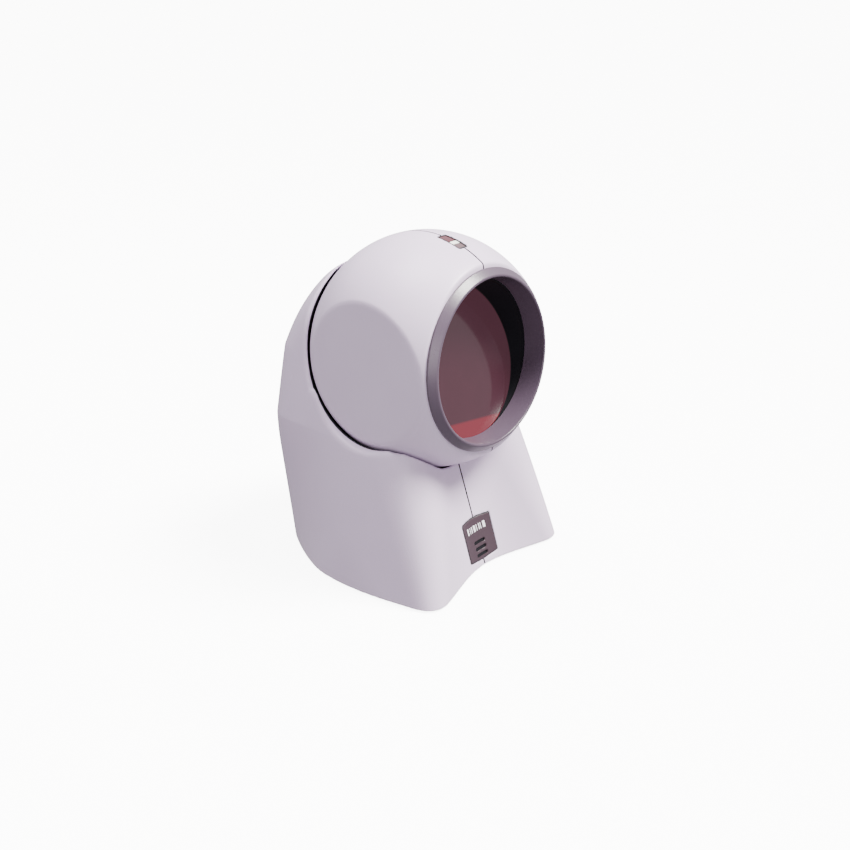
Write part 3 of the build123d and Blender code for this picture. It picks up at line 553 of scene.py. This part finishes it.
def badgeOutline(x, y, z, grow):
    up = onBadge(y, z)
    bow = badge["bow"] * (1 - (x / badge["halfWide"]) ** 2)
    ex = np.abs(x) - badge["halfWide"] - grow + badge["corner"]
    ey = np.abs(up) - badge["halfHigh"] - bow - grow + badge["corner"]
    edge = np.sqrt(np.maximum(ex, 0) ** 2 + np.maximum(ey, 0) ** 2) + np.minimum(np.maximum(ex, ey), 0) - badge["corner"]
    return np.maximum(edge, y - badgeBack - 12)


def badgeForm(x, y, z):
    skin = outerForm(x, y, z)
    plate = smoothMax(badgeOutline(x, y, z, 0), skin - badge["proud"], 0.4)
    plate = np.maximum(plate, -skin - badge["thick"])
    up = onBadge(y, z)
    for middle in badge["slotUp"]:
        reach = np.maximum(np.abs(x) - badge["slotHalf"] + badge["slotRound"], 0)
        plate = smoothMax(plate, badge["slotRound"] - np.sqrt(reach ** 2 + (up - middle) ** 2), 0.25)
    return plate


# painted shade: a thin near-black ring filling the gap between the badge and its pocket
def badgeGapShadeForm(x, y, z):
    skin = outerForm(x, y, z)
    frame = np.maximum(badgeOutline(x, y, z, 0.32), -badgeOutline(x, y, z, -0.12))
    return np.maximum(frame, np.maximum(skin - badge["proud"] + 0.12, -skin - badge["thick"]))


# painted shade: a near-black sheet sunk in each slot, so the slots read dark
def slotShadeForm(x, y, z):
    skin = outerForm(x, y, z)
    up = onBadge(y, z)
    reach = np.maximum(np.abs(x) - badge["slotHalf"] + badge["slotRound"], 0)
    fill = np.min([np.sqrt(reach ** 2 + (up - middle) ** 2) for middle in badge["slotUp"]], axis=0) - badge["slotRound"] - 0.2
    return np.maximum(fill, np.maximum(skin + 0.55, -skin - badge["thick"] + 0.1))


def barsForm(x, y, z):
    skin = outerForm(x, y, z)
    up = np.abs(onBadge(y, z) - badge["barUp"]) - badge["barHigh"]
    wide = np.min([np.abs(x - a) - h for a, h in zip(badge["barAcross"], badge["barHalf"])], axis=0)
    return smoothMax(np.maximum(wide, up), np.abs(skin - badge["proud"]) - 0.14, 0.1)


def standForm(x, y, z):
    outer = outerForm(x, y, z)
    outer = smoothMax(outer, -clearingForm(x, y, z), 2.4)
    outer = smoothMax(outer, -ballForm(x, y, z, stand["gap"], 1.5), 0.55)
    outer = smoothMax(outer, stand["edgeClear"] - z, 0.6)
    pocket = np.maximum(badgeOutline(x, y, z, 0.34), -outerForm(x, y, z) - 1.8)
    outer = smoothMax(outer, -pocket, 0.3)
    mouth = np.maximum(np.abs(x) - stand["mouthWide"], np.abs(z - stand["mouthMiddle"]) - stand["mouthHigh"])
    outer = smoothMax(outer, -np.maximum(mouth, 40 - y + cy), 0.3)
    room = smoothMax(outerForm(x, y, z) + stand["wall"], -ballForm(x, y, z, stand["gap"] + stand["wall"]), 1)
    room = np.maximum(room, -clearingForm(x, y, z) + stand["wall"])
    room = np.maximum(room, z - 76)
    return smoothMax(outer, -room, 0.4)


def gapForm(x, y, z):  # how deep a point lies in the gap round the ball, which sets the painted shade there
    return outerForm(x, y, z) * np.clip(1.2 - ballForm(x, y, z, stand["gap"]), 0, 1)


standMesh = skinForm("standShell", standForm, (-58, cy - 48, -1), (58, cy + 64, 142), stand["step"])
for side, word in ((-1, "Left"), (1, "Right")):
    half = halfOf(standMesh, "standShell" + word, side, stand["seam"])
    markShadeDepth(half, gapForm)
    addPiece("standShell" + word, half, "stand", [bodyPlastic, gapShadeDark], ["stand_shell_" + word.lower()])
bpy.data.meshes.remove(standMesh)
print("stand shells made")


def joined(name, parts):  # parts are (mesh, finish); one mesh with a material for each
    b = bmesh.new()
    mesh = bpy.data.meshes.new(name)
    for i, (part, finish) in enumerate(parts):
        first = len(b.faces)
        b.from_mesh(part)
        b.faces.ensure_lookup_table()
        for face in b.faces[first:]:
            face.material_index = i
        bpy.data.meshes.remove(part)
    bmesh.ops.recalc_face_normals(b, faces=b.faces)
    b.to_mesh(mesh)
    b.free()
    return mesh, [finish for part, finish in parts]


plateMesh = skinForm("plate", badgeForm, (-11, badgeBack - 6.5, 1), (11, badgeBack + 7, 26), badge["step"])
barsMesh = skinForm("bars", barsForm, (-8, badgeBack - 3, 14), (8, badgeBack + 5, 22), badge["barStep"])
badgeGapShadeMesh = skinForm("frame", badgeGapShadeForm, (-11, badgeBack - 6.5, 1), (11, badgeBack + 7, 26), badge["step"])
slotShadeMesh = skinForm("fill", slotShadeForm, (-6, badgeBack - 6.5, 1), (6, badgeBack + 7, 20), badge["step"])
badgeMesh, badgeFinishes = joined("badgePlate", [
    (plateMesh, badgeFinish), (barsMesh, markInk), (badgeGapShadeMesh, gapShadeDark), (slotShadeMesh, tunnelBlack)])
addPiece("badgePlate", badgeMesh, "stand", badgeFinishes, ["badge_plate"])
print("badge made")

lamp = {"frame": 0.5, "sunk": 0.35, "deep": 2.4, "step": 0.25, "cells": [(-5.9, -0.6), (-0.2, 2.0), (2.4, 5.9)]}


def lampPlace(x, y, z):
    hx, hf, hu = inHead(x, y, unsquat(z))
    a = radians(ball["lightAngle"])
    return hx, hf * cos(a) - hu * sin(a), hf * sin(a) + hu * cos(a)


def lampFrame(x, y, z):
    hx, along, out = lampPlace(x, y, z)
    skin = ballForm(x, y, z, 0)
    ex, ey = np.abs(hx) - ball["lightWidth"] / 2 + 0.15, np.abs(along) - ball["lightLength"] / 2 + 0.15
    frame = np.maximum(smoothMax(ex, ey, 0.8), smoothMax(skin + 0.05, -skin - lamp["deep"], 0.1))
    inner = np.maximum(ex + lamp["frame"], ey + lamp["frame"])
    return smoothMax(frame, -inner, 0.15)


def lampCell(low, high):
    def form(x, y, z):
        hx, along, out = lampPlace(x, y, z)
        skin = ballForm(x, y, z, 0)
        ex = np.abs(hx) - ball["lightWidth"] / 2 + 0.15 + lamp["frame"]
        ey = np.abs(along - (low + high) / 2) - (high - low) / 2
        return smoothMax(np.maximum(ex, ey), np.maximum(skin + lamp["sunk"], -skin - lamp["deep"]), 0.3)
    return form


lampAngle = radians(ball["lightAngle"])
lampMiddle = headCentre / mm + (lookAhead * sin(lampAngle) + headUp * cos(lampAngle)) * (ball["radius"] - 1)
lampLow, lampHigh = lampMiddle - (4, 7.5, 5), lampMiddle + (4, 7.5, 4)
lampParts = [(skinForm("frame", lampFrame, lampLow, lampHigh, lamp["step"]), darkPlastic)]
# the middle cell takes the lamps' near-white finish as a painted highlight
for (low, high), finish in zip(lamp["cells"], (lensFinish, lampWhiteAndHighlight, smokedLens)):
    lampParts.append((skinForm("cell", lampCell(low, high), lampLow, lampHigh, lamp["step"]), finish))
lampMesh, lampFinishes = joined("lightWindow", lampParts)
addPiece("lightWindow", lampMesh, "head", lampFinishes, ["light_window"])
print("light window made")

# finishes for the nodes that keep their CAD shape

nodeFinish = {
    "scan_tunnel": tunnelBlack, "scan_window": windowRed, "window_gasket": rubber, "light_window": lensFinish,
    "optics_chassis": darkPlastic, "pattern_mirrors": silvered, "mirror_wheel": silvered, "wheel_shaft": steel,
    "collector_mirror": silvered, "laser_module": darkMetal, "detector": chipFinish, "detector_filter": filterRed,
    "motor_body": darkMetal, "main_board": boardFinish, "board_chips": chipFinish, "board_screws": steel,
    "light_board": boardFinish, "lights": lampWhiteAndHighlight, "head_screws": steel, "axle_pins": steel,
    "friction_washers": rubber, "spring_washers": steel, "yoke": steel, "yoke_screws": steel,
    "floor_plate": darkPlastic, "floor_screws": steel, "rubber_feet": rubber, "threaded_inserts": brassFinish,
    "ballast": darkMetal, "speaker": darkMetal, "speaker_clip": darkPlastic, "interface_board": boardFinish,
    "cable_socket": blackPlastic, "socket_contacts": brassFinish, "badge_plate": badgeFinish,
}
for node, finish in nodeFinish.items():
    thing = frame["nodes"][node]
    thing = thing if hasattr(thing, "material_slots") else bpy.data.objects[node]
    for place in thing.material_slots:
        place.material = finish
    if not thing.material_slots:
        thing.data.materials.append(finish)
print("CAD nodes finished")

# floor, lights and camera

scene = bpy.context.scene

floorMesh = bpy.data.meshes.new("floor")
b = bmesh.new()
bmesh.ops.create_grid(b, x_segments=4, y_segments=4, size=40)
b.to_mesh(floorMesh)
b.free()
floorThing = bpy.data.objects.new("floor", floorMesh)
scene.collection.objects.link(floorThing)
floorFinish = Finish("floorFinish")
floorTone = floorFinish.noise(3, 2)
floorFinish.set(emission=(1.0, 1.0, 1.0), emissionStrength=8.0)
floorFinish.set(colour=floorFinish.node("ShaderNodeValToRGB", {"stops": [(0.2, (0.86, 0.86, 0.87)), (0.8, (0.88, 0.88, 0.885))]},
                                        {0: floorTone}), roughness=0.6)
floorMesh.materials.append(floorFinish.material)
floorThing.visible_diffuse = False
floorThing.visible_glossy = False

world = bpy.data.worlds.new("softRoom")
scene.world = world
world.use_nodes = True
world.node_tree.nodes["Background"].inputs["Color"].default_value = (0.99, 0.95, 1.0, 1)
world.node_tree.nodes["Background"].inputs["Strength"].default_value = 0.68


def softLight(name, place, target, size, power, colour=(1, 1, 1)):
    data = bpy.data.lights.new(name, "AREA")
    data.shape, data.size, data.energy, data.color = "DISK", size, power, colour
    light = bpy.data.objects.new(name, data)
    light.location = place
    light.rotation_euler = (Vector(target) - Vector(place)).to_track_quat("-Z", "Y").to_euler()
    scene.collection.objects.link(light)


def broadLight(name, place, strength, spread, colour=(1, 1, 1)):  # far away, so the whole floor is lit alike
    data = bpy.data.lights.new(name, "SUN")
    data.energy, data.angle, data.color = strength, radians(spread), colour
    light = bpy.data.objects.new(name, data)
    light.rotation_euler = (-Vector(place)).to_track_quat("-Z", "Y").to_euler()
    scene.collection.objects.link(light)


aim = (0, 0, 0.08)
broadLight("keyLight", (0.45, -0.55, 1.05), 13.0, 25, (1.0, 1.0, 0.94))
softLight("topLight", (-0.05, 0.15, 1.0), aim, 0.5, 11)
softLight("fillLight", (-0.65, -0.75, 0.35), aim, 0.6, 3.5, (1.0, 0.97, 1.0))

camera = {"azimuth": 49.287, "elevation": 23.343, "distance": 9.0, "lens": 46.084, "right": 0.0300, "up": -0.608}
cameraData = bpy.data.cameras.new("camera")
cameraData.lens = camera["lens"]
cameraData.sensor_width = 36
cameraData.clip_start = 0.01
cameraThing = bpy.data.objects.new("camera", cameraData)
scene.collection.objects.link(cameraThing)
az, el = radians(camera["azimuth"]), radians(camera["elevation"])
back = Vector((-sin(az) * cos(el), -cos(az) * cos(el), sin(el)))
right = Vector((cos(az), -sin(az), 0))
up = back.cross(right)
eye = Vector(headCentre) + (back * camera["distance"] - right * camera["right"] + up * camera["up"]) * ball["radius"] * mm
cameraThing.matrix_world = Matrix((
    (right.x, up.x, back.x, eye.x), (right.y, up.y, back.y, eye.y), (right.z, up.z, back.z, eye.z), (0, 0, 0, 1)))
scene.camera = cameraThing
print("scene lit")
